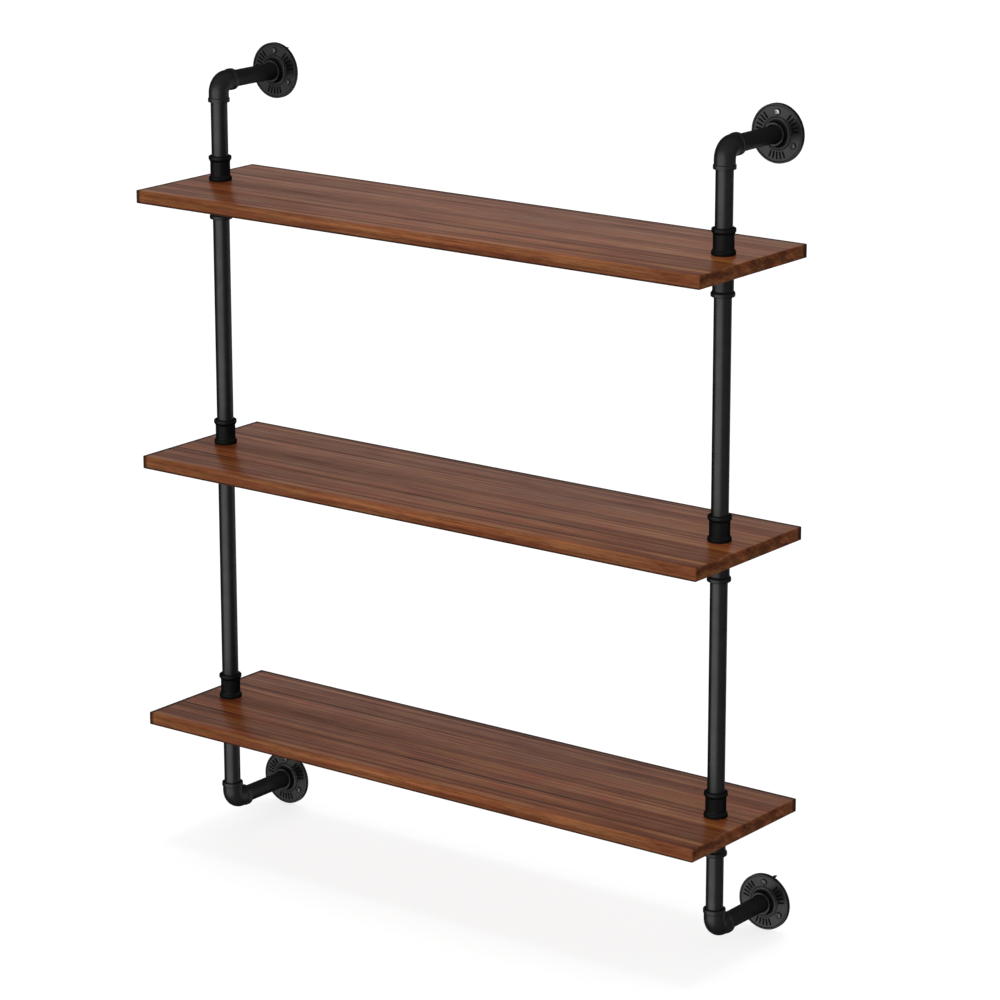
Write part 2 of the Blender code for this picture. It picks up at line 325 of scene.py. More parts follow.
def draw_ring(radius, next_radius, move):
    """Extrude the selected ring along a vector, then bring it to its next radius."""
    bpy.ops.mesh.extrude_region_move(TRANSFORM_OT_translate={"value": move})
    if next_radius != radius:
        factor = next_radius / radius
        bpy.ops.transform.resize(value=(factor, factor, factor), center_override=ring_centre())


def draw_profile(profile, axis):
    """Draw the selected ring through (radius, distance) points along an axis."""
    radius, distance = profile[0]
    for next_radius, next_distance in profile[1:]:
        draw_ring(radius, next_radius, axis * (next_distance - distance))
        radius, distance = next_radius, next_distance


def new_ring(name, radius, height, steps):
    """Start a piece as one ring round Z, in edit mode."""
    bpy.ops.object.select_all(action="DESELECT")
    bpy.ops.mesh.primitive_circle_add(
        vertices=steps, radius=radius, location=(0, 0, height), enter_editmode=True
    )
    bpy.context.object.name = name


def new_block(size, location, turn=0):
    """Start a piece as a block, turned about Z."""
    bpy.ops.object.select_all(action="DESELECT")
    bpy.ops.mesh.primitive_cube_add(size=1)
    block = bpy.context.object
    block.scale = size
    block.rotation_euler = (0, 0, turn)
    block.location = location
    settle_transform()
    return block


def turned(name, profile, steps, solid=False):
    """Draw a ring through a profile of (radius, height) points round Z.

    A solid's two ends are filled. Otherwise the last ring is bridged to the first.
    """
    new_ring(name, *profile[0], steps)
    draw_profile(profile, UP)
    bpy.ops.mesh.select_all(action="DESELECT")
    bpy.ops.mesh.select_non_manifold()
    if solid:
        bpy.ops.mesh.fill_holes(sides=0)
    else:
        bpy.ops.mesh.bridge_edge_loops()
    turn_faces_out()
    piece = end_edit()
    settle_transform()
    return piece


def combine(piece, tool, operation):
    """Cut a tool out of a piece, or weld it on, and remove the tool."""
    boolean = piece.modifiers.new(operation.title(), "BOOLEAN")
    boolean.operation = operation
    boolean.solver = "EXACT"
    boolean.object = tool
    select_only(piece)
    bpy.ops.object.modifier_apply(modifier=boolean.name)
    bpy.data.objects.remove(tool)


def join(pieces):
    select_only(*pieces)
    bpy.ops.object.join()
    return bpy.context.object


def smooth(piece, degrees=30):
    """Shade a piece smooth, apart from edges sharper than an angle."""
    select_only(piece)
    bpy.ops.object.shade_smooth_by_angle(angle=math.radians(degrees))


def settle(piece, material, node):
    """Give a finished piece its finish, and let it stand for its CAD node."""
    piece.data.materials.clear()
    piece.data.materials.append(material)
    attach(piece, "root")
    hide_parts(node)


def place_copy(model, name, matrix, material):
    """Copy a model into its place under the name of its CAD node."""
    piece = bpy.data.objects.new(f"{name}_fine", model.data.copy())
    bpy.context.scene.collection.objects.link(piece)
    piece.data.transform(matrix)
    settle(piece, material, name)
    return piece


def pipe_profile(length):
    """A pipe's wall as (radius, height) points, chamfered at both ends."""
    return [
        (PIPE_RADIUS - PIPE_CHAMFER, 0),
        (PIPE_RADIUS, PIPE_CHAMFER),
        (PIPE_RADIUS, length - PIPE_CHAMFER),
        (PIPE_RADIUS - PIPE_CHAMFER, length),
        (WATERWAY_RADIUS, length),
        (WATERWAY_RADIUS, 0),
    ]


def make_pipe(node, material):
    """An upright pipe, or an arm that lies along Y, on its CAD node's box."""
    low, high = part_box(node)
    size = high - low
    lies = size.y > size.z
    length = size.y if lies else size.z
    model = turned(node, pipe_profile(length), PIPE_STEPS)
    smooth(model)
    centre = centre_of(node)
    if lies:
        matrix = Matrix.Translation((centre.x, high.y, centre.z)) @ FACING_OUT
    else:
        matrix = Matrix.Translation((centre.x, centre.y, low.z))
    place_copy(model, node, matrix, material)
    bpy.data.objects.remove(model)


def coupling_model(length):
    """A straight coupling with a rolled bead round each end."""
    bead = COUPLING_RADIUS + BEAD_HEIGHT
    inner = bead - BEAD_ROUND
    slope = BEAD_LENGTH - BEAD_HEIGHT
    hollow = (COUPLING_RADIUS + BEAD_ROUND, BEAD_LENGTH + BEAD_HOLLOW)
    profile = [
        *arc((inner, BEAD_ROUND), BEAD_ROUND, -90, 0, BEAD_STEPS),
        *arc((inner, slope - BEAD_ROUND), BEAD_ROUND, 0, 50, BEAD_STEPS),
        *arc(hollow, BEAD_ROUND, 230, 180, BEAD_STEPS),
    ]
    upper = [(radius, length - height) for radius, height in reversed(profile)]
    bore = [
        (SOCKET_RADIUS + MOUTH_CHAMFER, length),
        (SOCKET_RADIUS, length - MOUTH_CHAMFER),
        (SOCKET_RADIUS, MOUTH_CHAMFER),
        (SOCKET_RADIUS + MOUTH_CHAMFER, 0),
    ]
    model = turned("coupling", profile + upper + bore, PIPE_STEPS)
    smooth(model)
    return model


def elbow_skin(name, straight, reach):
    """One skin of an elbow: a straight end, the bend, and the same end towards the wall."""
    new_ring(name, straight[0][0], straight[0][1] - reach, PIPE_STEPS)
    lower = [(radius, distance - reach) for radius, distance in straight]
    lower.append((straight[-1][0], -BEND_RADIUS))
    draw_profile(lower, UP)
    bpy.ops.mesh.spin(
        steps=BEND_STEPS, angle=math.pi / 2, center=(0, BEND_RADIUS, -BEND_RADIUS), axis=(1, 0, 0)
    )
    rear = [(straight[-1][0], BEND_RADIUS)]
    rear += [(radius, reach - distance) for radius, distance in reversed(straight)]
    draw_profile(rear, TO_WALL)
    piece = end_edit()
    settle_transform()
    return piece


def elbow_model(reach):
    """A banded elbow, open downwards and towards the wall, its axes crossing at 0."""
    band = ELBOW_RADIUS + BAND_HEIGHT - BAND_CHAMFER
    foot = ELBOW_RADIUS + BAND_CHAMFER
    outside = [
        *arc((band, BAND_CHAMFER), BAND_CHAMFER, -90, 0, BAND_STEPS),
        *arc((band, BAND_LENGTH - BAND_CHAMFER), BAND_CHAMFER, 0, 60, BAND_STEPS),
        *arc((foot, BAND_LENGTH + BAND_CHAMFER), BAND_CHAMFER, 240, 180, BAND_STEPS),
    ]
    shoulder = THREAD_DEPTH + SHOULDER_GAP
    inside = [
        (SOCKET_RADIUS + MOUTH_CHAMFER, 0),
        (SOCKET_RADIUS, MOUTH_CHAMFER),
        (SOCKET_RADIUS, shoulder),
        (WATERWAY_RADIUS, shoulder + SHOULDER_SLOPE),
    ]
    model = join([elbow_skin("elbow", outside, reach), elbow_skin("elbow_bore", inside, reach)])
    shape = start_edit(model)
    pick_edges(shape, lambda co: abs(co.z + reach) < ON_PLANE)
    bpy.ops.mesh.bridge_edge_loops()
    pick_edges(shape, lambda co: abs(co.y - reach) < ON_PLANE)
    bpy.ops.mesh.bridge_edge_loops()
    turn_faces_out()
    end_edit()
    smooth(model)
    return model


def clock_place(angle, radius):
    """A point on a flange's face, clockwise from the top as seen from the front."""
    return radius * math.sin(angle), radius * math.cos(angle)


def add_mark(angle):
    """One raised bar, narrower at its top, standing in a flange's face."""
    x, y = clock_place(angle, MARK_CIRCLE_RADIUS)
    height = MARK_HEIGHT + MARK_ROOT
    middle = (x, y, FLANGE_THICKNESS + MARK_HEIGHT - height / 2)
    mark = new_block((MARK_WIDTH, MARK_LENGTH, height), middle, -angle)
    start_edit(mark)
    bpy.ops.mesh.select_mode(type="FACE")
    shape = bmesh.from_edit_mesh(mark.data)
    for face in shape.faces:
        face.select_set(face.normal.z > FACES_UP)
    along = Vector((math.sin(angle), math.cos(angle)))
    for vert in shape.verts:
        if vert.select:
            off = Vector((vert.co.x - x, vert.co.y - y))
            lengthwise = along * off.dot(along)
            end = Vector((x, y)) + lengthwise * MARK_END_TAPER
            vert.co.x, vert.co.y = end + (off - lengthwise) * MARK_SIDE_TAPER
    bpy.ops.mesh.select_mode(type="VERT")
    bpy.ops.mesh.select_all(action="SELECT")
    bpy.ops.mesh.bevel(offset=MARK_ROUND, segments=2, affect="EDGES")
    return end_edit()


def flange_profile():
    """A flange's section as (radius, height) points, from its back up to its hub's bore."""
    face = FLANGE_THICKNESS
    rim = face + RIM_HEIGHT
    rim_inside = FLANGE_RADIUS - RIM_WIDTH
    rim_round = (FLANGE_RADIUS - RIM_ROUND, rim - RIM_ROUND)
    foot = (HUB_RADIUS + HUB_FILLET, face + HUB_FILLET)
    hub_round = (HUB_RADIUS - HUB_ROUND, HUB_HEIGHT - HUB_ROUND)
    return [
        (FLANGE_RADIUS - BACK_CHAMFER, 0),
        (FLANGE_RADIUS, BACK_CHAMFER),
        *arc(rim_round, RIM_ROUND, 0, 90, ROUND_STEPS),
        (rim_inside, rim),
        (rim_inside - RIM_HEIGHT, face),
        *arc((COLLAR_RADIUS, face), COLLAR_ROUND, 0, 180, COLLAR_STEPS),
        *arc(foot, HUB_FILLET, 270, 180, FILLET_STEPS),
        *arc(hub_round, HUB_ROUND, 0, 90, ROUND_STEPS),
        (SOCKET_RADIUS + MOUTH_CHAMFER, HUB_HEIGHT),
        (SOCKET_RADIUS, HUB_HEIGHT - MOUTH_CHAMFER),
        (SOCKET_RADIUS, 0),
    ]


def flange_model():
    """A wall flange with its back on z = 0, its hub along +Z and its marks raised."""
    model = turned("flange", flange_profile(), FLANGE_STEPS)
    model.data.transform(Matrix.Rotation(math.pi / FLANGE_STEPS, 4, "Z"))
    rim = FLANGE_THICKNESS + RIM_HEIGHT
    hole = [(SCREW_HOLE_RADIUS, -CUTTER_MARGIN), (SCREW_HOLE_RADIUS, rim + CUTTER_MARGIN)]
    for number in range(SCREWS_PER_FLANGE):
        angle = 2 * math.pi * number / SCREWS_PER_FLANGE
        x, y = clock_place(angle, SCREW_CIRCLE_RADIUS)
        cutter = turned("screw_hole", hole, SCREW_STEPS, solid=True)
        cutter.data.transform(Matrix.Translation((x, y, 0)))
        combine(model, cutter, "DIFFERENCE")
    marks = []
    for group in range(SCREWS_PER_FLANGE):
        middle = 2 * math.pi * (group + 0.5) / SCREWS_PER_FLANGE
        for number in range(MARKS_PER_GROUP):
            marks.append(add_mark(middle + MARK_STEP * (number - (MARKS_PER_GROUP - 1) / 2)))
    combine(model, join(marks), "UNION")
    smooth(model, 32)
    return model


def paint_marks(piece, centre, material):
    """Give a flange's raised marks a darker, duller finish than the face, as painted shade."""
    piece.data.materials.append(material)
    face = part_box(piece.name.removesuffix("_fine"))[1].y - FLANGE_THICKNESS
    reach = MARK_LENGTH / 2 + PAINT_MARGIN
    for polygon in piece.data.polygons:
        place = polygon.center
        distance = math.hypot(place.x - centre.x, place.z - centre.z)
        if place.y < face - PAINT_HEIGHT and abs(distance - MARK_CIRCLE_RADIUS) < reach:
            polygon.material_index = 1


def add_thread(length):
    """The screw's thread: a three-cornered ridge wound down the core."""
    turns = int((length - SHANK_LENGTH - 2 * THREAD_HEIGHT) / THREAD_PITCH)
    bpy.ops.object.select_all(action="DESELECT")
    bpy.ops.mesh.primitive_circle_add(vertices=3, radius=THREAD_HEIGHT, location=(0, 0, 0))
    thread = bpy.context.object
    thread.rotation_euler = (math.pi / 2, 0, 0)
    bpy.ops.object.transform_apply(location=False, rotation=True, scale=False)
    thread.data.transform(Matrix.Rotation(math.pi / 2, 4, "Y"))
    start = (CORE_RADIUS + THREAD_OFFSET, 0, -SHANK_LENGTH - THREAD_HEIGHT)
    thread.data.transform(Matrix.Translation(start))
    winding = thread.modifiers.new("Winding", "SCREW")
    winding.axis = "Z"
    winding.steps = THREAD_STEPS
    winding.render_steps = THREAD_STEPS
    winding.iterations = turns
    winding.screw_offset = -THREAD_PITCH
    bpy.ops.object.modifier_apply(modifier=winding.name)
    start_edit(thread)
    bpy.ops.mesh.select_non_manifold()
    bpy.ops.mesh.fill_holes(sides=0)
    turn_faces_out()
    end_edit()
    for vert in thread.data.vertices:
        left = max(0, vert.co.z + length) / SCREW_POINT
        if left < 1:
            share = THREAD_AT_TIP + (1 - THREAD_AT_TIP) * left
            vert.co.x *= share
            vert.co.y *= share
    return thread


def recess_cutter():
    """The cross that a driver fits, as two tapered bars."""
    bars = []
    for turn in (0, math.pi / 2):
        size = (RECESS_LENGTH, RECESS_WIDTH, RECESS_DEPTH * 2)
        shape = start_edit(new_block(size, (0, 0, HEAD_HEIGHT), turn))
        for vert in shape.verts:
            vert.select_set(vert.co.z < HEAD_HEIGHT)
        taper = (RECESS_TAPER, RECESS_TAPER, 1)
        bpy.ops.transform.resize(value=taper, center_override=ring_centre())
        bars.append(end_edit())
    combine(bars[0], bars[1], "UNION")
    return bars[0]


def screw_model(length):
    """A pan-head wall screw: its head stands on z = 0 and its point hangs below."""
    profile = [
        (TIP_RADIUS, -length),
        (CORE_RADIUS, SCREW_POINT - length),
        (CORE_RADIUS, -SHANK_LENGTH - SHANK_STEP),
        (SHANK_RADIUS, -SHANK_LENGTH),
        (SHANK_RADIUS, 0),
        (HEAD_RADIUS - HEAD_ROUND, 0),
        (HEAD_RADIUS, HEAD_ROUND),
        (HEAD_RADIUS, DOME_START),
    ]
    for step in range(1, DOME_STEPS + 1):
        angle = math.radians(DOME_STEP * step)
        height = DOME_START + (HEAD_HEIGHT - DOME_START) * math.sin(angle)
        profile.append((HEAD_RADIUS * math.cos(angle), height))
    model = turned("screw", profile, SCREW_STEPS, solid=True)
    combine(model, recess_cutter(), "DIFFERENCE")
    combine(model, add_thread(length), "UNION")
    smooth(model, 35)
    return model


def make_board(name, material):
    """A board with eased edges, bored for the two studs."""
    low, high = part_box(name)
    board = new_block(high - low, centre_of(name))
    board.name = f"{name}_fine"
    start_edit(board)
    bpy.ops.mesh.select_all(action="SELECT")
    bpy.ops.mesh.bevel(offset=EDGE_ROUND, segments=EDGE_STEPS, profile=0.5, affect="EDGES")
    end_edit()
    radius = PIPE_RADIUS + HOLE_CLEARANCE
    hole = [(radius, low.z - CUTTER_MARGIN), (radius, high.z + CUTTER_MARGIN)]
    for side in SIDES:
        axis = centre_of(f"{side}_stud_middle")
        cutter = turned("post_hole", hole, PIPE_STEPS, solid=True)
        cutter.data.transform(Matrix.Translation((axis.x, axis.y, 0)))
        combine(board, cutter, "DIFFERENCE")
    smooth(board, 40)
    settle(board, material, name)


class Tone:
    """A number that varies over a surface. Arithmetic on it adds Math nodes."""

    def __init__(self, nodes, socket):
        self.nodes = nodes
        self.socket = socket

    def math(self, operation, first, second=None):
        values = {0: first} if second is None else {0: first, 1: second}
        return self.nodes.node("ShaderNodeMath", {"operation": operation}, values)

    def __add__(self, other):
        return self.math("ADD", self, other)

    def __radd__(self, other):
        return self.math("ADD", other, self)

    def __sub__(self, other):
        return self.math("SUBTRACT", self, other)

    def __rsub__(self, other):
        return self.math("SUBTRACT", other, self)

    def __mul__(self, other):
        return self.math("MULTIPLY", self, other)

    def __rmul__(self, other):
        return self.math("MULTIPLY", other, self)

    def __abs__(self):
        return self.math("ABSOLUTE", self)

    def larger(self, other):
        return self.math("MAXIMUM", self, other)

    def above(self, start, end):
        """0 below start, 1 above end, and smooth between them."""
        return self.nodes.node(
            "ShaderNodeMapRange",
            {"interpolation_type": "SMOOTHSTEP"},
            {"Value": self, "From Min": start, "From Max": end},
        )


class Nodes:
    """A tree of shader nodes, and the way to add to it."""

    def __init__(self, tree):
        self.tree = tree

    def feed(self, socket, value):
        if isinstance(value, Tone):
            self.tree.links.new(value.socket, socket)
        else:
            socket.default_value = value

    def node(self, kind, settings=None, values=None, output=0):
        """Add a node: its settings first, then the values or links of its sockets."""
        node = self.tree.nodes.new(kind)
        for setting, value in (settings or {}).items():
            if setting == "stops":
                self.set_stops(node.color_ramp, value)
            else:
                setattr(node, setting, value)
        for socket, value in (values or {}).items():
            self.feed(node.inputs[socket], value)
        return Tone(self, node.outputs[output])

    def set_stops(self, ramp, stops):
        while len(ramp.elements) < len(stops):
            ramp.elements.new(0.5)
        for element, (position, colour) in zip(ramp.elements, stops):
            element.position = position
            element.color = (*colour, 1)


class Finish(Nodes):
    """One material: its surface shader and the nodes that feed it."""

    def __init__(self, name, **constants):
        self.material = bpy.data.materials.new(name)
        self.material.use_nodes = True
        super().__init__(self.material.node_tree)
        self.shader = self.tree.nodes["Principled BSDF"]
        self.surface(**constants)

    def surface(self, **values):
        """Set or feed the surface shader's sockets, named with _ for each space."""
        for name, value in values.items():
            self.feed(self.shader.inputs[name.replace("_", " ")], value)

    def axes(self, centre):
        """The three coordinates of a point, in metres from a centre."""
        place = self.node("ShaderNodeTexCoord", output="Object")
        moved = self.node("ShaderNodeVectorMath", {"operation": "SUBTRACT"}, {0: place, 1: centre})
        parts = self.node("ShaderNodeSeparateXYZ", values={0: moved})
        return [Tone(self, parts.socket.node.outputs[i]) for i in range(3)]

    def noise(self, x, y, z, detail=3, roughness=0.5):
        """Noise from 0 to 1, with features about 1 across in x, y and z."""
        vector = self.node("ShaderNodeCombineXYZ", values={0: x, 1: y, 2: z})
        values = {"Vector": vector, "Scale": 1, "Detail": detail, "Roughness": roughness}
        return self.node("ShaderNodeTexNoise", values=values)

    def open_sky(self, distance):
        """1 in the open, and less in corners closer than a distance."""
        settings = {"samples": 8}
        values = {"Distance": distance}
        return self.node("ShaderNodeAmbientOcclusion", settings, values, output="AO")

    def mix(self, share, first, second, blend="MIX"):
        """A colour between two others."""
        settings = {"data_type": "RGBA", "blend_type": blend}
        return self.node("ShaderNodeMix", settings, {0: share, 6: first, 7: second}, output=2)

    def bump(self, height, strength, distance):
        values = {"Strength": strength, "Distance": distance, "Height": height}
        return self.node("ShaderNodeBump", values=values)


def grey(level):
    return (level, level, level, 1)


def near(distance, reach):
    """1 at a distance of 0, fading smoothly to 0 at a reach."""
    return 1 - distance.above(0, reach)


def main_streaks(from_front, from_left):
    """How light or dark the board's main streaks are at a point, given in mm."""
    total = 0
    for middle, width, centre, reach, strength in STREAKS:
        line = near(abs(from_front - middle), width) * near(abs(from_left - centre), reach)
        total = line * strength + total
    return total


def wood(name, node, painted_top_light):
    """Oiled dark wood with its grain along X, its top painted lighter or darker than the others' as
    painted light and shade.
    """
    low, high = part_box(node)
    length, depth, thickness = high - low
    finish = Finish(name, Roughness=0.5, Specular_IOR_Level=0.0, Coat_Roughness=0.3)
    x, y, z = finish.axes(centre_of(node))
    # How near a point is to each side of the board
    top = near(thickness / 2 - abs(z), FACE_FADE)
    front = near(y + depth / 2, SIDE_FADE)
    end_grain = near(length / 2 - abs(x), SIDE_FADE)
    foot = z + thickness / 2

    # Grain that wanders a little across the board, from its broad bands down to its pores.
    # A coordinate's factor is the number of features per metre.
    drift = finish.noise(x * 1.4, y * 6, z * 6, detail=2)
    ripple = finish.noise(x * 5, y * 25, z * 25, detail=2)
    wander = (drift - 0.5) * (1.8 * MM) + (ripple - 0.5) * (0.6 * MM)
    across = y + wander + z * 0.5
    broad = finish.noise(x * 1.2, across * 26, 0.3, detail=2)
    streak = finish.noise(x * 0.8, across * 125, z * 12, detail=4, roughness=0.62)
    fine = finish.noise(x * 1.8, across * 560, z * 60, detail=4, roughness=0.65)
    hair = finish.noise(x * 8, across * 1700, z * 150, detail=3, roughness=0.6)
    pores = finish.noise(x * 60, across * 2400, z * 200, detail=2)
    fleck = finish.noise(x * 30 + z * 25, y * 9, z * 230, detail=5, roughness=0.72)
    rings = finish.noise(y * 34 + z * 40, z * 80, 1.7, detail=5, roughness=0.65)
    hue = finish.noise(x * 9, across * 60 + 2 - end_grain * (y * 30), z * 110, detail=4)

    # How light the wood is, on the scale of its colours
    along = 1 - 0.8 * end_grain - 0.2 * front
    figure = (broad - 0.5) * 0.7 + (streak - 0.5) * 1.5 + (fine - 0.5) * 0.6
    figure = figure + (hue - 0.5) * 0.45 + (hair - 0.5) * 0.55 - pores.above(0.56, 0.68) * 0.16
    # painted light and shade: each board's top lighter or darker than the others'
    tone = 0.52 + painted_top_light * top + figure * along
    from_front = (y + wander + depth / 2) * (1 / MM)
    from_left = (x + length / 2) * (1 / MM)
    tone = tone + main_streaks(from_front, from_left) * (STREAK_STRENGTH * top)
    # Painted shade: the front face darker all over, and darker still towards its lower edge
    shaded = 0.106 + 0.08 * near(foot, FOOT_SHADE)
    tone = tone + (fleck - 0.5) * (0.14 + 0.40 * front) - shaded * front
    tone = tone + (rings - 0.565) * (1.7 * end_grain)

    colour = finish.node("ShaderNodeValToRGB", {"stops": WALNUT}, {0: tone})
    plum = finish.noise(x * 3.1, across * 48, 9.1, detail=2).above(0.46, 0.68)
    colour = finish.mix(plum * (0.5 - 0.3 * front) * along, colour, PLUM)
    amber = finish.noise(x * 3.8 + 5, across * 40 + 3, 2.6, detail=2).above(0.52, 0.7)
    colour = finish.mix(amber * (0.45 - 0.25 * front) * along, colour, AMBER)
    shade = finish.mix(hue.above(0.32, 0.68), REDDER, GREENER)
    colour = finish.mix(0.6 - 0.2 * front, colour, shade, "MULTIPLY")
    colour = finish.mix(top, colour, BROAD_FACE_TINT, "MULTIPLY")

    # Painted shade along the back, the left end and the front's lower edge, where the eased edges
    # turn away from the light
    upper = near(thickness / 2 - z, EDGE_SHADE_UNDER_TOP)
    left = near(x + length / 2, EDGE_SHADE_LEFT)
    edge_shade = upper * near(depth / 2 - y, EDGE_SHADE_BACK) + (upper + front) * left
    edge_shade = edge_shade + front * near(foot, EDGE_SHADE_FOOT) + end_grain * near(depth / 2 - y, EDGE_SHADE_END_BACK)
    edge_shade = edge_shade.above(0, 0.7) * (0.62 + 0.5 * streak)

    relief = fine * 0.5 + pores.above(0.35, 0.6) * 0.5
    finish.surface(
        Base_Color=finish.mix(edge_shade, colour, EDGE_SHADE),
        Coat_Weight=(0.02 + top * (0.11 + tone * 0.21)) * (1 - 0.8 * edge_shade),
        Normal=finish.bump(relief, strength=0.12, distance=0.3 * MM),
    )
    return finish.material


def black_coat(name, base, sheen, roughness, grain, bump, shade_reach=0):
    """Satin black over metal, with a fine grain in its sheen and relief.

    The sheen thins where the surface turns away, and, as painted shade, in corners closer than a
    given reach.
    """
    finish = Finish(name, Specular_IOR_Level=0.0, Coat_Roughness=roughness)
    x, y, z = finish.axes((0, 0, 0))
    cloud = finish.noise(x * 60, y * 60, z * 60, detail=3)
    speck = finish.noise(x * grain, y * grain, z * grain, detail=3, roughness=0.6)
    turned_away = finish.node("ShaderNodeLayerWeight", values={"Blend": 0.5}, output="Facing")
    gloss = (0.8 + cloud * 0.4) * (1 - 0.8 * turned_away.above(0.15, 0.5))
    # painted shade: less sheen in corners and creases
    if shade_reach:
        gloss = gloss * (0.1 + 0.9 * finish.open_sky(shade_reach).above(0.35, 0.95))
    finish.surface(
        Base_Color=finish.mix(cloud, grey(base * 0.75), grey(base * 1.25)),
        Coat_Weight=gloss * sheen,
        Normal=finish.bump(speck, strength=bump, distance=0.1 * MM),
    )
    return finish.material


def zinc(name):
    """Bright plated steel, with painted shade where its recess is deep."""
    finish = Finish(name, Metallic=1.0)
    x, y, z = finish.axes((0, 0, 0))
    cloud = finish.noise(x * 900, y * 900, z * 900)
    # painted shade: the colour falls to near black deep in the recess
    open_face = finish.open_sky(2 * MM).above(0.5, 1)
    finish.surface(
        Base_Color=finish.mix(open_face, grey(0.012), (0.11, 0.11, 0.108, 1)),
        Roughness=0.22 + cloud * 0.2,
    )
    return finish.material


def add_camera():
    """The photograph's view."""
    sight = Vector((
        math.sin(CAMERA_AZIMUTH) * math.cos(CAMERA_PITCH),
        -math.cos(CAMERA_AZIMUTH) * math.cos(CAMERA_PITCH),
        math.sin(CAMERA_PITCH),
    ))
    level = Vector((math.cos(CAMERA_AZIMUTH), math.sin(CAMERA_AZIMUTH), 0))
    upright = sight.cross(level)
    right = level * math.cos(CAMERA_ROLL) + upright * math.sin(CAMERA_ROLL)
    above = upright * math.cos(CAMERA_ROLL) - level * math.sin(CAMERA_ROLL)
    turn = Matrix((right, above, sight)).transposed().to_4x4()
    camera = bpy.data.objects.new("camera", bpy.data.cameras.new("camera"))
    bpy.context.scene.collection.objects.link(camera)
    camera.matrix_world = Matrix.Translation(CAMERA_PLACE) @ turn
    camera.data.sensor_width = CAMERA_SENSOR
    camera.data.lens = CAMERA_LENS
    bpy.context.scene.camera = camera


def add_lamp(name, kind, direction, strength, distance=0):
    """A soft lamp on one side of the shelf. The direction points from the shelf to the lamp."""
    lamp = bpy.data.lights.new(name, kind)
    lamp.energy = strength
    light = bpy.data.objects.new(name, lamp)
    bpy.context.scene.collection.objects.link(light)
    light.location = Vector(direction).normalized() * distance
    light.rotation_euler = Vector(direction).to_track_quat("Z", "Y").to_euler()
    light.visible_camera = False
    return light


def add_daylight(name, direction, strength, angle, shadow=False):
    """Even light from one side, as soft as a large diffuser. Gloss doesn't show it."""
    light = add_lamp(name, "SUN", direction, strength)
    light.data.angle = math.radians(angle)
    light.data.use_shadow = shadow
    light.visible_glossy = False
    return light


def add_reflector(name, direction, distance, size, power):
    """A soft box that only gloss shows."""
    light = add_lamp(name, "AREA", direction, power, distance)
    light.data.shape = "RECTANGLE"
    light.data.size, light.data.size_y = size
    light.visible_diffuse = False
    return light


def light_only(lamp, pieces):
    """Let a lamp reach these pieces and no others."""
    lit = bpy.data.collections.new(f"lit_by_{lamp.name}")
    for piece in pieces:
        lit.objects.link(piece)
    lamp.light_linking.receiver_collection = lit


def add_world(strength):
    """Plain soft light all round, which the camera and reflections see as white."""
    world = bpy.data.worlds.new("studio")
    bpy.context.scene.world = world
    world.use_nodes = True
    studio = Nodes(world.node_tree)
    camera, glossy, through = [
        studio.node("ShaderNodeLightPath", output=f"Is {ray} Ray")
        for ray in ("Camera", "Glossy", "Transmission")
    ]
    seen = camera.larger(glossy).larger(through)
    background = world.node_tree.nodes["Background"]
    studio.feed(background.inputs["Color"], grey(1))
    studio.feed(background.inputs["Strength"], strength + (1 - strength) * seen)


def add_floor(height):
    """A pale floor that holds the shelf's shadow and is white where nothing shades it."""
    bpy.ops.object.select_all(action="DESELECT")
    bpy.ops.mesh.primitive_plane_add(size=FLOOR_SIZE, location=(0, 0, height))
    floor = bpy.context.object
    floor.name = "floor"
    floor.visible_glossy = False
    finish = Finish("pale_floor", Base_Color=grey(0.5), Roughness=1.0, Specular_IOR_Level=0.0)
    seen = finish.node("ShaderNodeLightPath", output="Is Camera Ray")
    finish.surface(Emission_Color=finish.mix(seen, grey(0), grey(1)), Emission_Strength=FLOOR_GLOW)
    floor.data.materials.append(finish.material)
    return floor


bpy.context.scene.view_settings.view_transform = "Standard"
add_camera()
add_world(strength=0.35)
floor = add_floor(cad_box[0].z - FLOOR_GAP)
overhead = add_daylight("overhead", direction=(0, 0.02, 1), strength=0.55, angle=14, shadow=True)
light_only(overhead, [floor])
add_daylight("front", direction=(0.13, -0.69, 0.34), strength=2.5, angle=50)
add_daylight("rear", direction=(-0.35, 0.8, 0.5), strength=0.6, angle=50)

pipe_black = black_coat("pipe_black", 0.005, sheen=0.22, roughness=0.40, grain=900, bump=0.10)
# The arms are the same pipe as the uprights, with a lighter base and a weaker sheen: painted light,
# a lit copy of the pipe's finish
arm_black = black_coat("arm_black", 0.0098, sheen=0.13, roughness=0.45, grain=900, bump=0.10)
# One fitting in two finishes: the couplings under the boards with a stronger sheen than those
# above, painted light on a lit copy and painted shade on a shaded copy
lit_and_shaded_couplings = {
    "above": black_coat(
        "coupling_black", 0.0045, sheen=0.065, roughness=0.35, grain=600, bump=0.25, shade_reach=5 * MM
    ),
    "below": black_coat(
        "lower_coupling_black", 0.005, sheen=0.15, roughness=0.38, grain=600, bump=0.25,
        shade_reach=5 * MM
    ),
}
elbow_black = black_coat(
    "elbow_black", 0.008, sheen=0.185, roughness=0.40, grain=500, bump=0.35, shade_reach=5 * MM
)
flange_black = black_coat(
    "flange_black", 0.005, sheen=0.17, roughness=0.30, grain=500, bump=0.45, shade_reach=4 * MM
)
# The raised marks darker and duller than the face, though the same cast metal: painted shade
mark_painted_shade = black_coat("mark_painted_shade", 0.003, sheen=0.02, roughness=0.5, grain=500, bump=0.3)
screw_black = black_coat("screw_black", 0.024, sheen=0.36, roughness=0.3, grain=1500, bump=0.1)
screw_zinc = zinc("screw_zinc")

for board, painted_top_light in BOARD_TOP_LIGHT.items():
    make_board(f"shelf_{board}", wood(f"{board}_board_wood", f"shelf_{board}", painted_top_light))

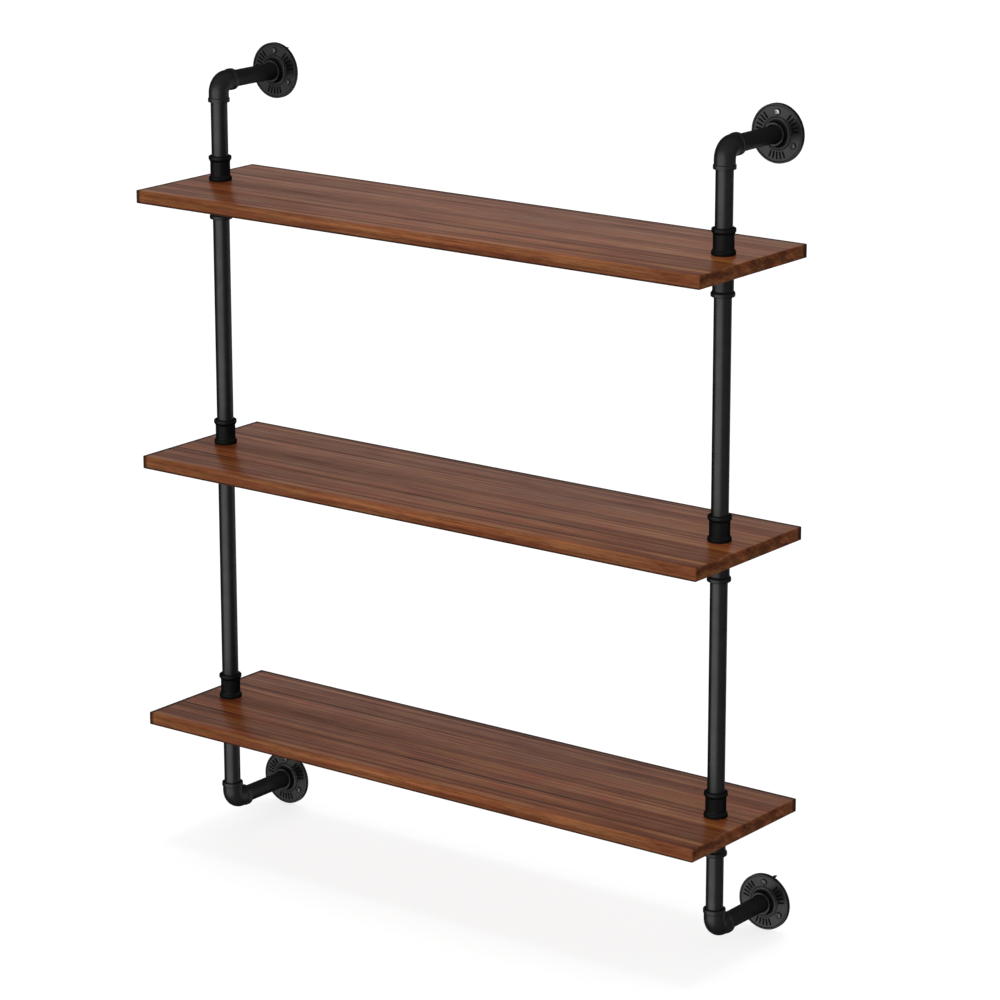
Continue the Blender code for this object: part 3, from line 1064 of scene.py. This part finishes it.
# One model of each repeated piece, as long as the first of its CAD nodes
coupling_low, coupling_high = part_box("left_coupling_upper_above")
coupling = coupling_model(coupling_high.z - coupling_low.z)
elbow = elbow_model(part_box("left_elbow_top")[1].y - post_y("left"))
flange = flange_model()
screws = []
for number in range(SCREWS_PER_FLANGE):
    low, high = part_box(f"left_top_screw_{number + 1}")
    screws.append(screw_model(high.y - low.y - HEAD_HEIGHT))

for side in SIDES:
    for end in ENDS:
        make_pipe(f"{side}_arm_{end}", arm_black)
    for node in ("drop_pipe", "riser_1", "riser_2", "foot_pipe"):
        make_pipe(f"{side}_{node}", pipe_black)
    for board in BOARDS:
        make_pipe(f"{side}_stud_{board}", pipe_black)
        for where, black in lit_and_shaded_couplings.items():
            name = f"{side}_coupling_{board}_{where}"
            centre = centre_of(name)
            matrix = Matrix.Translation((centre.x, centre.y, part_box(name)[0].z))
            place_copy(coupling, name, matrix, black)
    for end in ENDS:
        name = f"{side}_flange_{end}"
        centre = centre_of(name)
        matrix = Matrix.Translation((centre.x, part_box(name)[1].y, centre.z)) @ FACING_OUT
        piece = place_copy(flange, name, matrix, flange_black)
        paint_marks(piece, centre, mark_painted_shade)
        matrix = Matrix.Translation((centre.x, post_y(side), centre.z))
        if end == "bottom":
            matrix = matrix @ TURNED_OVER
        place_copy(elbow, f"{side}_elbow_{end}", matrix, elbow_black)
        for number, screw in enumerate(screws, start=1):
            name = f"{side}_{end}_screw_{number}"
            centre = centre_of(name)
            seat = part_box(name)[0].y + HEAD_HEIGHT
            matrix = Matrix.Translation((centre.x, seat, centre.z)) @ FACING_OUT
            if name == BRIGHT_SCREW:
                place_copy(screw, name, matrix, screw_zinc)
            else:
                place_copy(screw, name, matrix, screw_black)

for model in (coupling, elbow, flange, *screws):
    bpy.data.objects.remove(model)

# Soft boxes low in front and behind, for the gloss on the metal
wooden = [f"shelf_{board}_fine" for board in BOARDS]
metal = [
    piece for piece in bpy.data.objects
    if piece.name.endswith("_fine") and piece.name not in wooden
]
front_box = add_reflector(
    "reflector", direction=(-0.094, -1, -0.2), distance=3.2, size=(5.4, 5.0), power=675
)
rear_box = add_reflector(
    "rear_reflector", direction=(0.1, 1, -0.3), distance=3.2, size=(3.0, 3.0), power=250
)
light_only(front_box, metal)
light_only(rear_box, metal)
